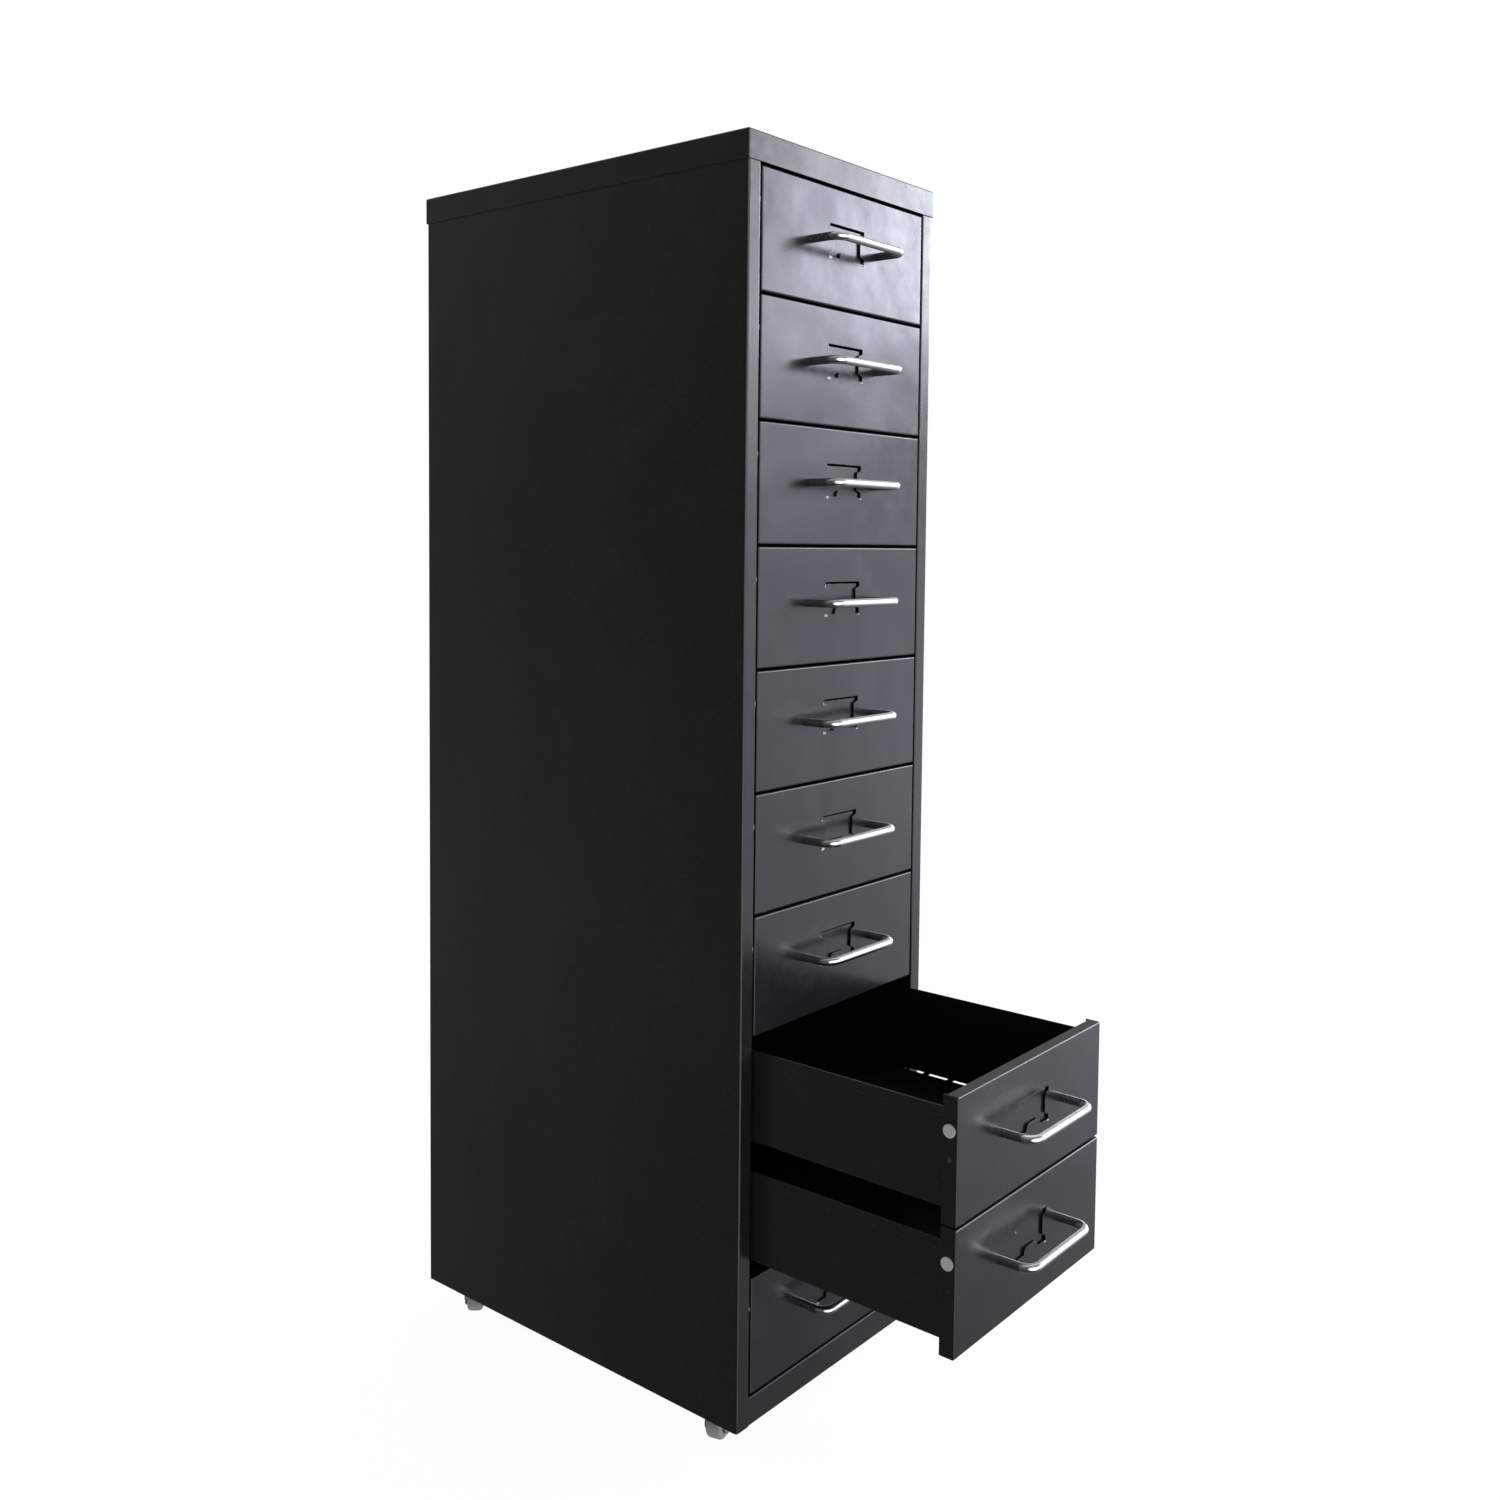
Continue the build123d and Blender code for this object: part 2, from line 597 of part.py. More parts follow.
def caster_rivet(x, y):
    """Rivet through a caster plate and its channel."""
    low = CASTER_SEAT - PLATE_THICKNESS
    high = CASTER_SEAT + CHANNEL_SHEET
    rounding = RIVET_HEAD_HEIGHT * 0.65
    shank = rod(RIVET_RADIUS, (x, y, low - MERGE), (x, y, high + MERGE))
    lower = rod(RIVET_HEAD, (x, y, low - RIVET_HEAD_HEIGHT), (x, y, low))
    lower = fillet(lower.faces().sort_by(Axis.Z)[0].edges(), rounding)
    upper = rod(RIVET_HEAD, (x, y, high), (x, y, high + RIVET_HEAD_HEIGHT))
    upper = fillet(upper.faces().sort_by(Axis.Z)[-1].edges(), rounding)
    return shank + lower + upper


def caster_fork():
    """Fork at the origin of its kingpin, trailing along +X, with its axle riveted in."""
    crown_high = CASTER_SEAT - PLATE_THICKNESS - CROWN_PLAY
    crown_low = crown_high - CROWN_HEIGHT
    inner = WHEEL_WIDTH / 2 + FORK_SIDE_GAP
    outer = inner + FORK_SHEET
    crown = rod(CROWN_RADIUS, (0, 0, crown_low), (0, 0, crown_high))
    crown &= block((-CROWN_RADIUS, CROWN_RADIUS), (-outer, outer), (crown_low, crown_high))
    crown = fillet(crown.faces().sort_by(Axis.Z)[-1].edges(), CROWN_HEIGHT / 3)
    eye = Pos(TRAIL, WHEEL_RADIUS) * Circle(FORK_EYE)
    shoulder = Pos(0, crown_low + CROWN_HEIGHT / 2) * Rectangle(1.5 * CROWN_RADIUS, CROWN_HEIGHT / 2)
    flank = make_hull([*eye.edges(), *shoulder.edges()])
    cheek = Pos(0, -inner, 0) * extrude(Plane.XZ * flank, FORK_SHEET)
    fork = crown + cheek + mirror(cheek, about=Plane.XZ)
    bore = KINGPIN_RADIUS + RUNNING_CLEARANCE
    fork -= rod(bore, (0, 0, crown_low - MERGE), (0, 0, crown_high + MERGE))
    fork += rod(AXLE_RADIUS, (TRAIL, -outer, WHEEL_RADIUS), (TRAIL, outer, WHEEL_RADIUS))
    for side in (-1, 1):
        face = (TRAIL, side * outer, WHEEL_RADIUS)
        end = (TRAIL, side * (outer + AXLE_HEAD_HEIGHT), WHEEL_RADIUS)
        head = rod(AXLE_HEAD_RADIUS, face, end)
        head = fillet(head.faces().sort_by(Axis.Y)[-1 if side > 0 else 0].edges(), AXLE_HEAD_HEIGHT / 2)
        fork += head
    return fork


def caster_wheel():
    """Moulded wheel in the same place as the fork: flat tread, round shoulders and a raised hub."""
    half = WHEEL_WIDTH / 2
    tread = TREAD_WIDTH / 2
    bore = AXLE_RADIUS + RUNNING_CLEARANCE
    rim = WHEEL_RADIUS - SHOULDER_HEIGHT
    web = half - WEB_RECESS
    lean = WEB_RECESS / 2
    side_points = [
        (0, bore),
        (half, bore),
        (half, HUB_RADIUS),
        (web, HUB_RADIUS + lean),
        (web, rim - 2 * lean),
        (half, rim - lean),
        (half, rim),
    ]
    side_line = Polyline(*side_points)
    shoulder = Spline((half, rim), (tread, WHEEL_RADIUS), tangents=[(0, 1), (-1, 0)])
    top = Line((tread, WHEEL_RADIUS), (0, WHEEL_RADIUS))
    axis_side = Line((0, WHEEL_RADIUS), (0, bore))
    section = make_face([side_line, shoulder, top, axis_side])
    section += mirror(section, about=Plane.YZ)
    wheel = revolve(section, Axis.X)
    return Pos(TRAIL, 0, WHEEL_RADIUS) * Rot(0, 0, 90) * wheel


def placed_caster(shape, name, x, y):
    """Turn a caster piece to the way it trails at rest and put it under its kingpin."""
    return Pos(x, y, 0) * Rot(0, 0, TRAIL_HEADINGS[name]) * shape


# ---- all pieces -----------------------------------------------------------------------


def grouped(solids):
    """Separate solids in one file."""
    return Compound(children=list(solids))


def build():
    """Every node of the cabinet by name."""
    nodes = {}
    left = side_panel()
    nodes["left_side_panel"] = left
    nodes["right_side_panel"] = mirrored(left)
    nodes["back_panel"] = back_panel()
    nodes["top_cap"] = top_cap()
    nodes["base_pan"] = base_pan()
    runners = [runner(number) for number in range(1, DRAWER_COUNT + 1)]
    nodes["left_drawer_runners"] = grouped(runners)
    nodes["right_drawer_runners"] = grouped(mirrored(piece) for piece in runners)
    nodes["back_panel_screws"] = grouped(panel_screws())
    places = caster_places()
    channel_places = sorted({y for _, y in places.values()})
    nodes["caster_channels"] = grouped(caster_channel(y) for y in channel_places)
    nodes["caster_plates"] = grouped(caster_plate(x, y) for x, y in places.values())
    rivets = [spot for x, y in places.values() for spot in rivet_places(x, y)]
    nodes["caster_rivets"] = grouped(caster_rivet(x, y) for x, y in rivets)
    fork = caster_fork()
    wheel = caster_wheel()
    for name, (x, y) in places.items():
        nodes[f"{name}_caster_fork"] = placed_caster(fork, name, x, y)
        nodes[f"{name}_caster_wheel"] = placed_caster(wheel, name, x, y)
    for number in range(1, DRAWER_COUNT + 1):
        pull = Pos(0, -OPEN_DRAWERS.get(number, 0.0), 0)
        name = f"drawer_{number:02d}"
        nodes[f"{name}_front"] = pull * drawer_front(number)
        nodes[f"{name}_tray"] = pull * drawer_tray(number)
        nodes[f"{name}_handle"] = grouped(pull * piece for piece in drawer_handle(number))
        nodes[f"{name}_plugs"] = grouped(pull * piece for piece in drawer_plugs(number))
    return nodes


os.makedirs("parts", exist_ok=True)
for node, shape in build().items():
    export_step(shape, f"parts/{node}.step")
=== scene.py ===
import json
import math

import bmesh
import bpy
from mathutils import Matrix, Vector


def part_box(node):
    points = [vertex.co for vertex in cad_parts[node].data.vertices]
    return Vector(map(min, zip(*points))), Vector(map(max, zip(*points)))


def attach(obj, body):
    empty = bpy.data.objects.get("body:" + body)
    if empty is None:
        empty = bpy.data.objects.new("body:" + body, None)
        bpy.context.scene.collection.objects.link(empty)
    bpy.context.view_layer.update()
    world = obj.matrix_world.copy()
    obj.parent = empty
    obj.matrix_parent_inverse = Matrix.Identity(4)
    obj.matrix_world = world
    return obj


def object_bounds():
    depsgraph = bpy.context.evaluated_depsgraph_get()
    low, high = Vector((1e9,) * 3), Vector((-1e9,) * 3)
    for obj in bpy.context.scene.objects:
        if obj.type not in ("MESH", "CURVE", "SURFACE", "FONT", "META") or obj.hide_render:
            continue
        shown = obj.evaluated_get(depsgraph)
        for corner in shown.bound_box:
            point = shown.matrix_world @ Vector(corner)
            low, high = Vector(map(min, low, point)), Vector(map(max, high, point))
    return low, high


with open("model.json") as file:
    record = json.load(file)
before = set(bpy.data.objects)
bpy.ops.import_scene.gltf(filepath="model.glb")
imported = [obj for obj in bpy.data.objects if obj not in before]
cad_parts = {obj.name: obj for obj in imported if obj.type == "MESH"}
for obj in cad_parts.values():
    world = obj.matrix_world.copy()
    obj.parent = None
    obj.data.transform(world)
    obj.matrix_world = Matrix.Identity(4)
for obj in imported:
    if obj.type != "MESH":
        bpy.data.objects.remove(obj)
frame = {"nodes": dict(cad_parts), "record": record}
cad_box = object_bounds()

# A tall cabinet of ten steel drawers on casters, in metres, in the frame of the CAD model: origin
# on the floor under the middle of the cabinet, +Z up, drawer fronts facing -Y.
MM = 0.001
bodies = frame["record"]["behaviour"]["bodies"]
drawers = sorted(name for name in bodies if name.startswith("drawer_"))
casters = sorted(name for name in bodies if name.endswith("_caster"))

# ---- shader helpers -------------------------------------------------------------------------


def add(tree, kind, inputs=None, **settings):
    """New shader node, with its settings, and its inputs set to values or linked to sockets."""
    made = tree.nodes.new(kind)
    for name, value in settings.items():
        setattr(made, name, value)
    for name, value in (inputs or {}).items():
        socket = made.inputs[name]
        if isinstance(value, bpy.types.NodeSocket):
            tree.links.new(value, socket)
        else:
            socket.default_value = value
    return made


def noise(tree, place, scale, detail=2.0, roughness=0.5, distortion=0.0):
    """Noise between 0 and 1 at a number of cells per metre."""
    inputs = {"Vector": place, "Scale": scale, "Detail": detail, "Roughness": roughness}
    inputs["Distortion"] = distortion
    return add(tree, "ShaderNodeTexNoise", inputs).outputs["Fac"]


def spread(tree, value, low, high, out_low=0.0, out_high=1.0):
    """Value carried from one range to another, smoothly and without going past its ends."""
    inputs = {"Value": value, "From Min": low, "From Max": high, "To Min": out_low, "To Max": out_high}
    return add(tree, "ShaderNodeMapRange", inputs, interpolation_type="SMOOTHSTEP").outputs["Result"]


def maths(tree, operation, first, second):
    """Result of one sum on two values."""
    return add(tree, "ShaderNodeMath", {0: first, 1: second}, operation=operation).outputs[0]


def vector_maths(tree, operation, first, second):
    """Result of one sum on two vectors, or on a vector and a scale."""
    inputs = {0: first, "Scale" if operation == "SCALE" else 1: second}
    made = add(tree, "ShaderNodeVectorMath", inputs, operation=operation)
    return made.outputs["Value" if operation == "DOT_PRODUCT" else "Vector"]


def tint(tree, factor, first, second):
    """Colour between two colours."""
    inputs = {"Factor": factor, "A": first, "B": second}
    mix = tree.nodes.new("ShaderNodeMix")
    mix.data_type = "RGBA"
    for socket in mix.inputs:
        if socket.name in inputs and socket.type == ("VALUE" if socket.name == "Factor" else "RGBA"):
            value = inputs[socket.name]
            if isinstance(value, bpy.types.NodeSocket):
                tree.links.new(value, socket)
            else:
                socket.default_value = value
    return mix.outputs["Result"] if mix.outputs["Result"].type == "RGBA" else mix.outputs[2]


def grey(level, blue=1.0):
    """Neutral colour of a linear level, with a little more or less blue."""
    return (level, level, level * blue, 1.0)


def bumped(tree, edge, layers):
    """Normal with edges rounded to a radius and height patterns on top, each with its depth in metres."""
    normal = add(tree, "ShaderNodeBevel", {"Radius": edge}, samples=4).outputs["Normal"]
    for height, depth in layers:
        inputs = {"Height": height, "Distance": depth, "Strength": 1.0, "Normal": normal}
        normal = add(tree, "ShaderNodeBump", inputs).outputs["Normal"]
    return normal


def worn_edges(tree, radius, breaks):
    """Mask that is 1 on the crest of every edge and 0 on flat surface, broken up by a pattern."""
    rounded = add(tree, "ShaderNodeBevel", {"Radius": radius}, samples=4).outputs["Normal"]
    plain = add(tree, "ShaderNodeNewGeometry").outputs["Normal"]
    alike = vector_maths(tree, "DOT_PRODUCT", rounded, plain)
    turned = spread(tree, alike, 0.985, 0.86)
    return maths(tree, "MULTIPLY", turned, breaks)


def material(name, build, **fixed):
    """Material from a function that links the varying sockets of its main shader."""
    made = bpy.data.materials.new(name)
    made.use_nodes = True
    tree = made.node_tree
    tree.nodes.clear()
    shader = add(tree, "ShaderNodeBsdfPrincipled")
    for socket, value in fixed.items():
        shader.inputs[socket.replace("_", " ")].default_value = value
    output = add(tree, "ShaderNodeOutputMaterial")
    tree.links.new(shader.outputs[0], output.inputs["Surface"])
    place = add(tree, "ShaderNodeTexCoord").outputs["Object"]
    for socket, value in build(tree, place).items():
        tree.links.new(value, shader.inputs[socket])
    return made


# ---- finishes -------------------------------------------------------------------------------


def powder_coat(wave_depth):
    """Function for glossy black powder coat: orange peel on slightly wavy sheet, handled, with lighter
    edges that are partly worn coat and partly a painted highlight.
    """

    def build(tree, place):
        peel = noise(tree, place, 700.0, detail=1.0)
        ripple = noise(tree, place, 95.0, detail=2.0)
        waves = noise(tree, place, 12.0, detail=1.5)
        prints = noise(tree, place, 16.0, detail=4.0, roughness=0.65, distortion=0.6)
        smudge = spread(tree, prints, 0.50, 0.72)
        specks = spread(tree, noise(tree, place, 1500.0, detail=0.0), 0.74, 0.80)
        breaks = spread(tree, noise(tree, place, 60.0, detail=5.0, roughness=0.7), 0.42, 0.66)
        wear = worn_edges(tree, 0.7 * MM, breaks)
        coat = tint(tree, noise(tree, place, 5.0), grey(0.0080, 1.08), grey(0.0125, 1.12))
        dusty = tint(tree, maths(tree, "MULTIPLY", specks, 0.5), coat, grey(0.06))
        # edge crests lightened towards grey: partly worn coat, partly a painted highlight along the edges
        colour = tint(tree, maths(tree, "MULTIPLY", wear, 0.55), dusty, grey(0.10, 1.03))
        rough = spread(tree, ripple, 0.3, 0.7, 0.20, 0.24)
        rough = maths(tree, "ADD", rough, maths(tree, "MULTIPLY", smudge, 0.07))
        rough = maths(tree, "ADD", rough, maths(tree, "MULTIPLY", wear, 0.10))
        layers = [(waves, wave_depth), (ripple, 0.05 * MM), (peel, 0.008 * MM)]
        return {"Base Color": colour, "Roughness": rough, "Normal": bumped(tree, 0.45 * MM, layers)}

    return build


def chrome(tree, place):
    """Bright plated wire with fine drawing lines along it and a slightly cloudy plate."""
    along = add(tree, "ShaderNodeMapping", {"Vector": place, "Scale": (0.06, 1.0, 1.0)}).outputs[0]
    lines = noise(tree, along, 2600.0, detail=2.0)
    cloud = noise(tree, place, 260.0, detail=4.0, roughness=0.6)
    pits = spread(tree, noise(tree, place, 1400.0, detail=1.0), 0.66, 0.76)
    plate = tint(tree, cloud, grey(0.64, 1.01), grey(0.90, 1.01))
    colour = tint(tree, maths(tree, "MULTIPLY", pits, 0.6), plate, grey(0.20))
    rough = spread(tree, cloud, 0.3, 0.7, 0.10, 0.20)
    rough = maths(tree, "ADD", rough, maths(tree, "MULTIPLY", pits, 0.25))
    normal = bumped(tree, 0.3 * MM, [(cloud, 0.06 * MM), (lines, 0.008 * MM)])
    return {"Base Color": colour, "Roughness": rough, "Normal": normal}


def zinc(tree, place):
    """Zinc-plated steel: dull spangled grey with a faint warm cast and brighter worn edges."""
    spangle = add(tree, "ShaderNodeTexVoronoi", {"Vector": place, "Scale": 420.0}, feature="F1")
    cell = add(tree, "ShaderNodeSeparateColor", {"Color": spangle.outputs["Color"]}).outputs[0]
    cloud = noise(tree, place, 140.0, detail=4.0)
    wear = worn_edges(tree, 0.35 * MM, spread(tree, cloud, 0.3, 0.6))
    plate = tint(tree, cell, (0.36, 0.365, 0.37, 1.0), (0.50, 0.50, 0.49, 1.0))
    stained = tint(tree, spread(tree, cloud, 0.52, 0.70), plate, (0.34, 0.33, 0.30, 1.0))
    colour = tint(tree, maths(tree, "MULTIPLY", wear, 0.6), stained, grey(0.74))
    rough = spread(tree, cloud, 0.3, 0.7, 0.30, 0.46)
    normal = bumped(tree, 0.3 * MM, [(cloud, 0.02 * MM), (noise(tree, place, 2400.0), 0.006 * MM)])
    return {"Base Color": colour, "Roughness": rough, "Normal": normal}


def moulded(dark, light, grain_depth):
    """Function for moulded plastic between two greys, with a spark-eroded grain."""

    def build(tree, place):
        grain = noise(tree, place, 1900.0, detail=2.0)
        cloud = noise(tree, place, 110.0, detail=3.0)
        scuffs = spread(tree, noise(tree, place, 420.0, detail=5.0, roughness=0.75), 0.58, 0.70)
        wear = worn_edges(tree, 0.3 * MM, scuffs)
        plain = tint(tree, cloud, grey(dark, 1.01), grey(light, 1.01))
        colour = tint(tree, maths(tree, "MULTIPLY", wear, 0.5), plain, grey(light * 1.5))
        rough = spread(tree, cloud, 0.3, 0.7, 0.42, 0.54)
        rough = maths(tree, "ADD", rough, maths(tree, "MULTIPLY", scuffs, 0.12))
        normal = bumped(tree, 0.3 * MM, [(grain, grain_depth)])
        return {"Base Color": colour, "Roughness": rough, "Normal": normal}

    return build


CARCASS_TINT = (1.0, 0.985, 0.90, 1.0)  # the carcass shines a little warmer than the drawers
finishes = {
    "carcass_powder_coat": material(
        "carcass_powder_coat_look", powder_coat(0.9 * MM), IOR=1.5, Specular_Tint=CARCASS_TINT
    ),
    "drawer_powder_coat": material("drawer_powder_coat_look", powder_coat(1.5 * MM), IOR=1.5),
    "chromed_wire": material("chromed_wire_look", chrome, Metallic=1.0),
    "zinc_plated_steel": material("zinc_plated_steel_look", zinc, Metallic=0.9),
    "grey_plug_plastic": material("grey_plug_plastic_look", moulded(0.34, 0.40, 0.006 * MM)),
    "grey_wheel_plastic": material("grey_wheel_plastic_look", moulded(0.20, 0.27, 0.010 * MM)),
}
for node in frame["nodes"].values():
    for place in node.material_slots:
        place.material = finishes[place.material.name.split(".")[0]]

# ---- small pieces that the sheet-metal model leaves out --------------------------------------


def painted_highlight_spot(tree, place):
    """Dark paint broken up by bright patches: a painted highlight, standing for light caught on pressed
    nibs.
    """
    highlight_patches = spread(tree, noise(tree, place, 900.0, detail=4.0, roughness=0.7), 0.42, 0.58)
    highlight_grey = tint(tree, noise(tree, place, 2500.0), grey(0.50, 1.03), grey(0.72, 1.03))
    # the bright patches are a painted highlight on the dark paint
    colour = tint(tree, highlight_patches, grey(0.05, 1.08), highlight_grey)
    rough = spread(tree, highlight_patches, 0.0, 1.0, 0.30, 0.42)
    normal = bumped(tree, 0.1 * MM, [(highlight_patches, 0.02 * MM)])
    return {"Base Color": colour, "Roughness": rough, "Normal": normal}


# material whose bright patches are painted highlights
highlight_spot_look = material("painted_highlight_look", painted_highlight_spot, Metallic=0.35)


def piece_from(name, build, look, body):
    """Object whose mesh is built by a function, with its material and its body."""
    shape = bmesh.new()
    build(shape)
    bmesh.ops.recalc_face_normals(shape, faces=shape.faces)
    mesh = bpy.data.meshes.new(name)
    shape.to_mesh(mesh)
    shape.free()
    for polygon in mesh.polygons:
        polygon.use_smooth = len(polygon.vertices) <= 4  # the many-sided backs stay flat
    mesh.materials.append(look)
    made = bpy.data.objects.new(name, mesh)
    bpy.context.scene.collection.objects.link(made)
    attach(made, body)
    return made


def dome(shape, middle, across, along, outward, height, segments=20, rings=5):
    """Low rounded nib on a surface: an oval with half axes given as vectors, standing out by a height."""
    middle, across, along, outward = (Vector(v) for v in (middle, across, along, outward))
    loops = []
    for ring in range(rings):
        share = ring / rings
        level = middle + outward * (height * math.sin(share * math.pi / 2))
        reach = math.cos(share * math.pi / 2)
        loop = []
        for step in range(segments):
            turn = 2 * math.pi * step / segments
            rim = across * math.cos(turn) + along * math.sin(turn)
            loop.append(shape.verts.new(level + rim * reach))
        loops.append(loop)
    crown = shape.verts.new(middle + outward * height)
    for low, high in zip(loops, loops[1:]):
        for step in range(segments):
            after = (step + 1) % segments
            shape.faces.new((low[step], low[after], high[after], high[step]))
    for step in range(segments):
        shape.faces.new((loops[-1][step], loops[-1][(step + 1) % segments], crown))
    shape.faces.new(loops[0][::-1])


# nibs that carry painted highlights where the edges of the label window catch the light
LABEL_NIBS = [  # by the label window: from the middle, from the upper edge, half width, half height, in mm
    (-25.6, -33.4, 0.45, 1.5),
    (-23.8, -58.7, 2.7, 1.4),
    (23.9, -58.8, 1.7, 0.8),
]
NIB_HEIGHT = 0.5 * MM
SUNK = 0.05 * MM  # how far the flat back of a nib lies inside the surface that it stands on


def label_highlight_nibs(drawer):
    """Pressed nibs round the label window of one drawer, their crests painted bright as a highlight."""
    low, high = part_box(f"{drawer}_front")

    def build(shape):
        for x, drop, half_width, half_height in LABEL_NIBS:
            middle = ((low[0] + high[0]) / 2 + x * MM, low[1] + SUNK, high[2] + drop * MM)
            dome(shape, middle, (half_width * MM, 0, 0), (0, 0, half_height * MM), (0, -1, 0), NIB_HEIGHT)

    return piece_from(f"{drawer}_label_highlight_nibs", build, highlight_spot_look, drawer)


CHANNEL_WIDTH = 56.0 * MM  # over both flanges
CHANNEL_SHEET = 1.2 * MM
WELD_LINE = 3.0 * MM  # from the outer edge of a flange
WELD_PITCH = 29.0 * MM
WELD_RADIUS = 2.3 * MM
WELD_HEIGHT = 0.25 * MM


def channel_welds():
    """Spot welds along the flanges of the two caster channels."""
    low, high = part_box("caster_channels")
    face = high[2] - CHANNEL_SHEET + SUNK
    front_lines = (low[1] + WELD_LINE, low[1] + CHANNEL_WIDTH - WELD_LINE)
    back_lines = (high[1] - CHANNEL_WIDTH + WELD_LINE, high[1] - WELD_LINE)

    def build(shape):
        for y in front_lines + back_lines:
            for step in range(-4, 5):
                middle = (step * WELD_PITCH, y, face)
                across = (WELD_RADIUS, 0, 0)
                along = (0, WELD_RADIUS, 0)
                dome(shape, middle, across, along, (0, 0, -1), WELD_HEIGHT + SUNK)

    slot = "carcass_powder_coat"
    return piece_from("caster_channel_welds", build, finishes[slot], "cabinet")


RIB_PLACE = 5.6 * MM  # from the axle
RIB_HALF_LENGTH = 0.9 * MM
RIB_HALF_WIDTH = 0.6 * MM
RIB_HEIGHT = 0.8 * MM
WEB_PLACE = 6.0 * MM  # of the web's outer face, from the middle of the wheel


def wheel_marks(caster):
    """Moulded ribs across the web on both sides of one caster wheel."""
    wheel = f"{caster.removesuffix('_caster')}_wheel"
    joint = next(j for j in frame["record"]["behaviour"]["joints"] if j["child"] == wheel)
    centre = Vector(joint["pos_m"])
    axle = Vector(joint["axis"]).normalized()
    up = Vector((0, 0, 1))
    level = axle.cross(up)

    def build(shape):
        for side in (-1, 1):
            for step in range(6):
                angle = math.radians(60 * step)
                spoke = up * math.cos(angle) + level * math.sin(angle)
                middle = centre + spoke * RIB_PLACE + axle * side * (WEB_PLACE - SUNK)
                length = spoke * RIB_HALF_LENGTH
                breadth = spoke.cross(axle) * RIB_HALF_WIDTH
                dome(shape, middle, length, breadth, axle * side, RIB_HEIGHT, segments=12)

    slot = "grey_wheel_plastic"
    return piece_from(f"{wheel}_ribs", build, finishes[slot], wheel)


for drawer in drawers:
    label_highlight_nibs(drawer)
channel_welds()
for caster in casters:
    wheel_marks(caster)

# ---- surroundings ---------------------------------------------------------------------------

WINDOW_SIDE = Vector((0.80, -0.60, 0.0))  # the bright side of the room, to the front right
BACK_SIDE = Vector((0.60, 0.80, 0.0))  # across it, to the back right
FRONT_SIDE = Vector((-0.139, -0.990, 0.0))  # a pale wall in front, which only the round wire mirrors
FRONT_WALL = 2.2
# Light by the height of a direction (its sine): near part of the window, its back part, rest of the room.
ROOM_LEVELS = [
    (-1.00, 0.25, 0.25, 0.05),
    (-0.50, 0.30, 0.30, 0.05),
    (-0.42, 0.45, 0.45, 0.06),
    (-0.34, 0.90, 0.75, 0.08),
    (-0.20, 1.05, 1.45, 0.09),
    (-0.10, 1.15, 1.60, 0.08),
    (0.00, 1.40, 1.20, 0.07),
    (0.08, 3.10, 0.45, 0.08),
    (0.13, 4.90, 4.20, 0.09),
    (0.17, 7.60, 15.5, 0.09),
    (0.21, 2.20, 15.5, 0.10),
    (0.26, 0.50, 11.5, 0.11),
    (0.33, 2.00, 12.5, 0.11),
    (0.45, 1.00, 1.60, 0.12),
    (0.75, 0.60, 0.60, 0.25),
    (1.00, 0.50, 0.50, 0.45),
]
ROOM_PEAK = 16.0


def level_ramp(tree, height, column):
    """Light from one side of the room as a ramp over the height of the direction."""
    spot = add(tree, "ShaderNodeMapRange", {"Value": height, "From Min": -1.0, "From Max": 1.0})
    ramp = add(tree, "ShaderNodeValToRGB", {"Fac": spot.outputs["Result"]})
    stops = ramp.color_ramp.elements
    while len(stops) > 1:
        stops.remove(stops[-1])
    for index, row in enumerate(ROOM_LEVELS):
        stop = stops[0] if index == 0 else stops.new((row[0] + 1.0) / 2.0)
        stop.position = (row[0] + 1.0) / 2.0
        stop.color = grey(row[column] / ROOM_PEAK)
    return ramp.outputs["Color"]


def make_world():
    """Studio: a broad soft window at the front right, a dim room elsewhere, a white backdrop."""
    world = bpy.data.worlds.new("studio")
    bpy.context.scene.world = world
    world.use_nodes = True
    tree = world.node_tree
    tree.nodes.clear()
    direction = add(tree, "ShaderNodeTexCoord").outputs["Generated"]
    height = add(tree, "ShaderNodeSeparateXYZ", {"Vector": direction}).outputs["Z"]
    across = vector_maths(tree, "DOT_PRODUCT", direction, BACK_SIDE)
    near_part = level_ramp(tree, height, 1)
    back_part = level_ramp(tree, height, 2)
    window = tint(tree, spread(tree, across, -0.04, 0.08), near_part, back_part)
    clouds = noise(tree, direction, 11.0, detail=4.0, roughness=0.6)
    window = vector_maths(tree, "SCALE", window, spread(tree, clouds, 0.35, 0.65, 0.80, 1.18))
    cool = tint(tree, spread(tree, height, -0.40, -0.10), (0.985, 1.0, 1.05, 1.0), (0.95, 0.99, 1.15, 1.0))
    window = vector_maths(tree, "MULTIPLY", window, cool)
    patch = spread(tree, across, -0.02, 0.40, 0.85, 3.4)
    rest = vector_maths(tree, "SCALE", level_ramp(tree, height, 3), patch)
    wall = spread(tree, vector_maths(tree, "DOT_PRODUCT", direction, FRONT_SIDE), 0.74, 0.92)
    rest = tint(tree, wall, rest, grey(FRONT_WALL / ROOM_PEAK))
    facing = spread(tree, vector_maths(tree, "DOT_PRODUCT", direction, WINDOW_SIDE), 0.58, 0.93)
    room = tint(tree, facing, rest, window)
    lit = add(tree, "ShaderNodeBackground", {"Color": room, "Strength": ROOM_PEAK})
    backdrop = add(tree, "ShaderNodeBackground", {"Color": grey(1.0), "Strength": 1.0})
    seen = add(tree, "ShaderNodeLightPath").outputs["Is Camera Ray"]
    mix = add(tree, "ShaderNodeMixShader", {0: seen, 1: lit.outputs[0], 2: backdrop.outputs[0]})
    output = add(tree, "ShaderNodeOutputWorld")
    tree.links.new(mix.outputs[0], output.inputs["Surface"])


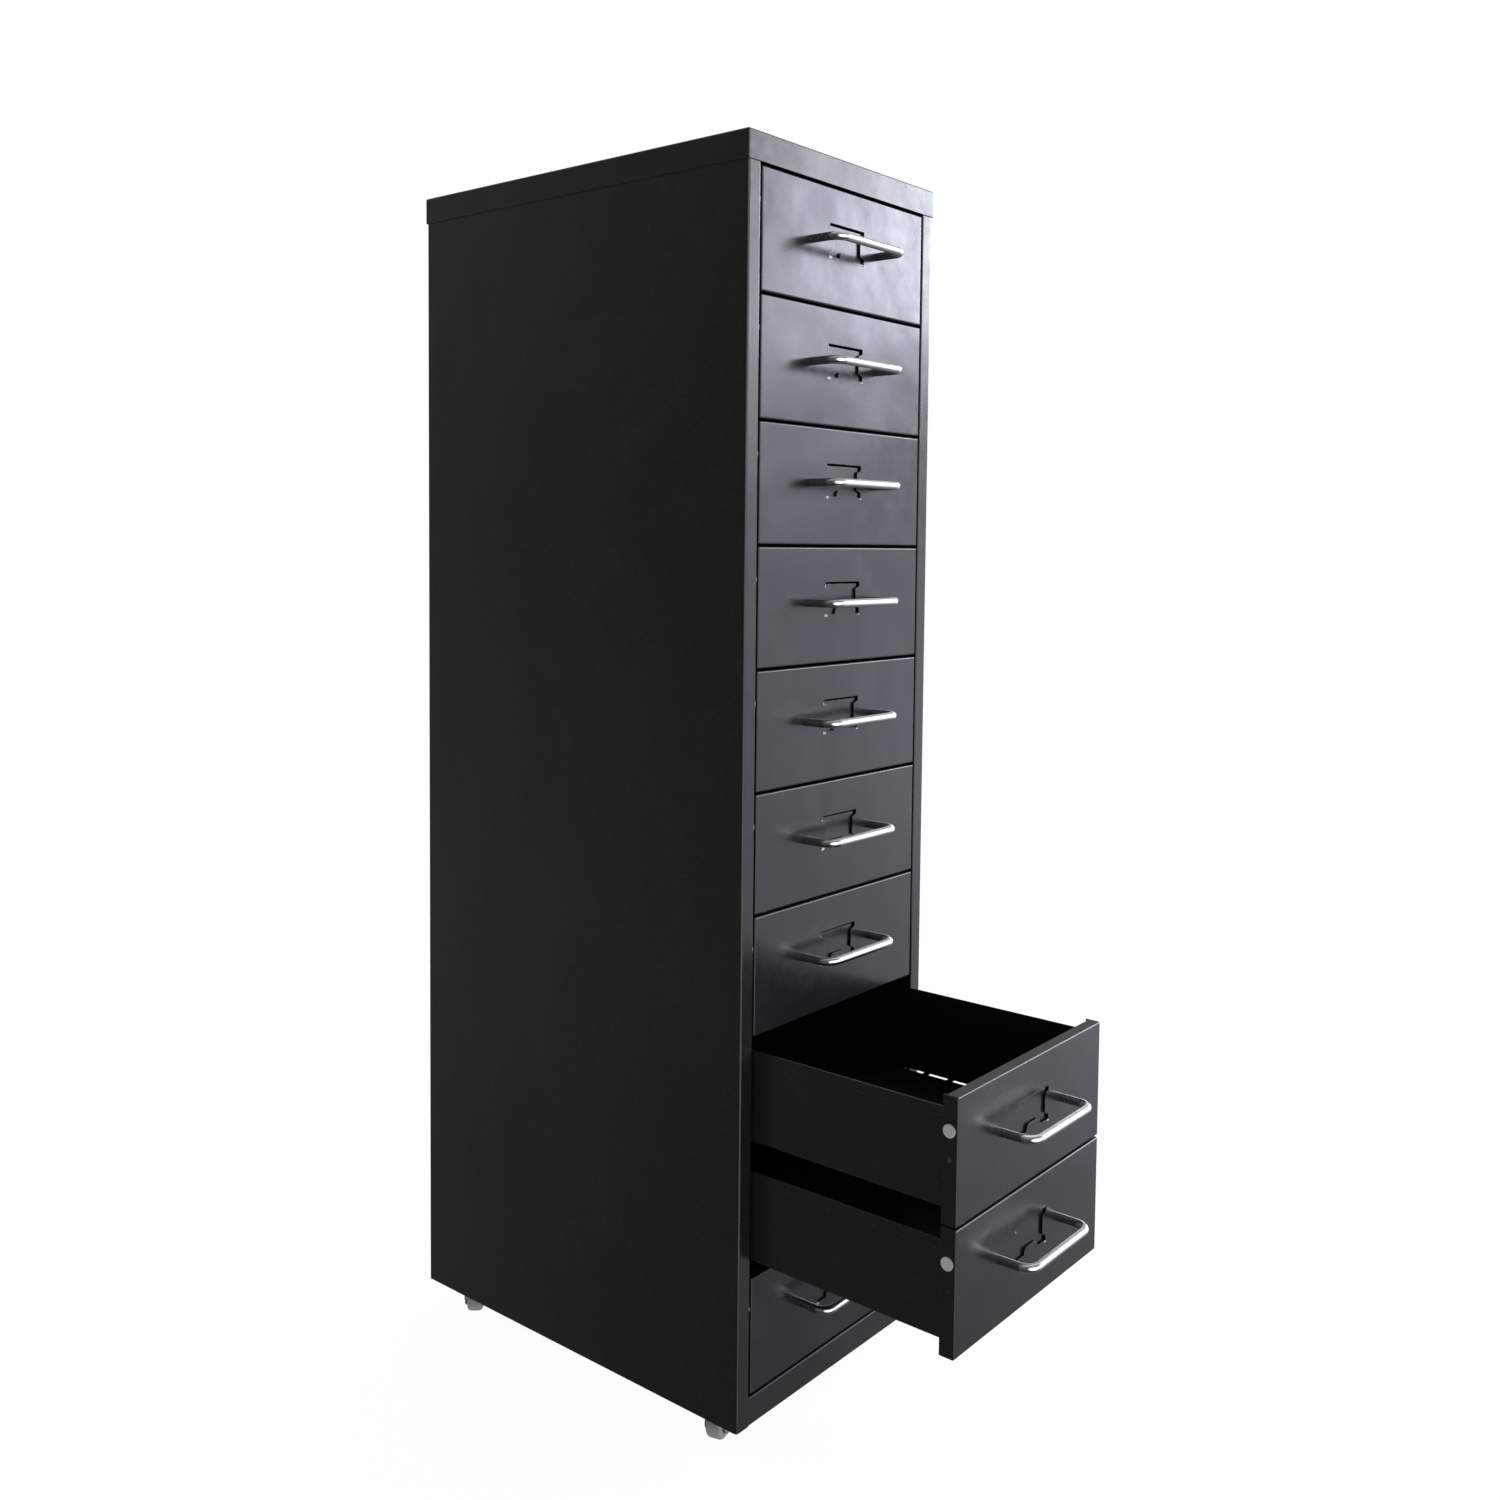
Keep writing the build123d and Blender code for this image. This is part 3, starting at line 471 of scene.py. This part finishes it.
def make_floor():
    """Round pale floor that fades into the white backdrop."""
    radius = 3.0
    shape = bmesh.new()
    bmesh.ops.create_circle(shape, cap_ends=True, segments=96, radius=radius)
    mesh = bpy.data.meshes.new("floor")
    shape.to_mesh(mesh)
    shape.free()
    floor = bpy.data.objects.new("floor", mesh)
    bpy.context.scene.collection.objects.link(floor)
    made = bpy.data.materials.new("floor_look")
    made.use_nodes = True
    tree = made.node_tree
    tree.nodes.clear()
    place = add(tree, "ShaderNodeTexCoord").outputs["Object"]
    far = add(tree, "ShaderNodeVectorMath", {0: place}, operation="LENGTH").outputs["Value"]
    paint = tint(tree, noise(tree, place, 40.0, detail=4.0), grey(0.42), grey(0.44))
    matt = add(tree, "ShaderNodeBsdfDiffuse", {"Color": paint})
    glow = add(tree, "ShaderNodeEmission", {"Color": grey(1.0), "Strength": 1.06})
    near = add(tree, "ShaderNodeMixShader", {0: 0.92, 1: matt.outputs[0], 2: glow.outputs[0]})
    away = spread(tree, far, 0.7, 1.9)
    fade = add(tree, "ShaderNodeMixShader", {0: away, 1: near.outputs[0], 2: glow.outputs[0]})
    output = add(tree, "ShaderNodeOutputMaterial")
    tree.links.new(fade.outputs[0], output.inputs["Surface"])
    mesh.materials.append(made)
    floor.visible_glossy = False
    return floor


def soft_light(name, place, aim, size, watts):
    """Square soft box at a place, turned to an aim."""
    data = bpy.data.lights.new(name, "AREA")
    data.shape = "SQUARE"
    data.size = size
    data.energy = watts
    lamp = bpy.data.objects.new(name, data)
    lamp.visible_glossy = False
    lamp.location = place
    lamp.rotation_mode = "QUATERNION"
    lamp.rotation_quaternion = (Vector(aim) - Vector(place)).to_track_quat("-Z", "Y")
    bpy.context.scene.collection.objects.link(lamp)
    return lamp


def make_camera():
    """Camera at the front left, a little above the middle, almost level."""
    data = bpy.data.cameras.new("view")
    data.sensor_width = 36.0
    data.lens = 35.144
    data.shift_x = -0.00256
    data.shift_y = -0.08197
    data.clip_end = 50.0
    camera = bpy.data.objects.new("view", data)
    heading = Matrix.Rotation(math.radians(-50.578), 4, "Z")
    tilt = Matrix.Rotation(math.radians(90.0 - 3.196), 4, "X")
    roll = Matrix.Rotation(math.radians(0.574), 4, "Z")
    camera.matrix_world = Matrix.Translation((-1.0301, -0.9475, 0.7580)) @ heading @ tilt @ roll
    bpy.context.scene.collection.objects.link(camera)
    bpy.context.scene.camera = camera


make_world()
make_floor()
middle = (cad_box[0] + cad_box[1]) / 2
soft_light("window_box", middle + Vector((1.9, -1.5, 1.9)), middle, 1.4, 30.0)
soft_light("fill_box", middle + Vector((-1.6, 1.8, 1.5)), middle, 1.6, 6.0)
make_camera()
bpy.context.scene.view_settings.view_transform = "Standard"
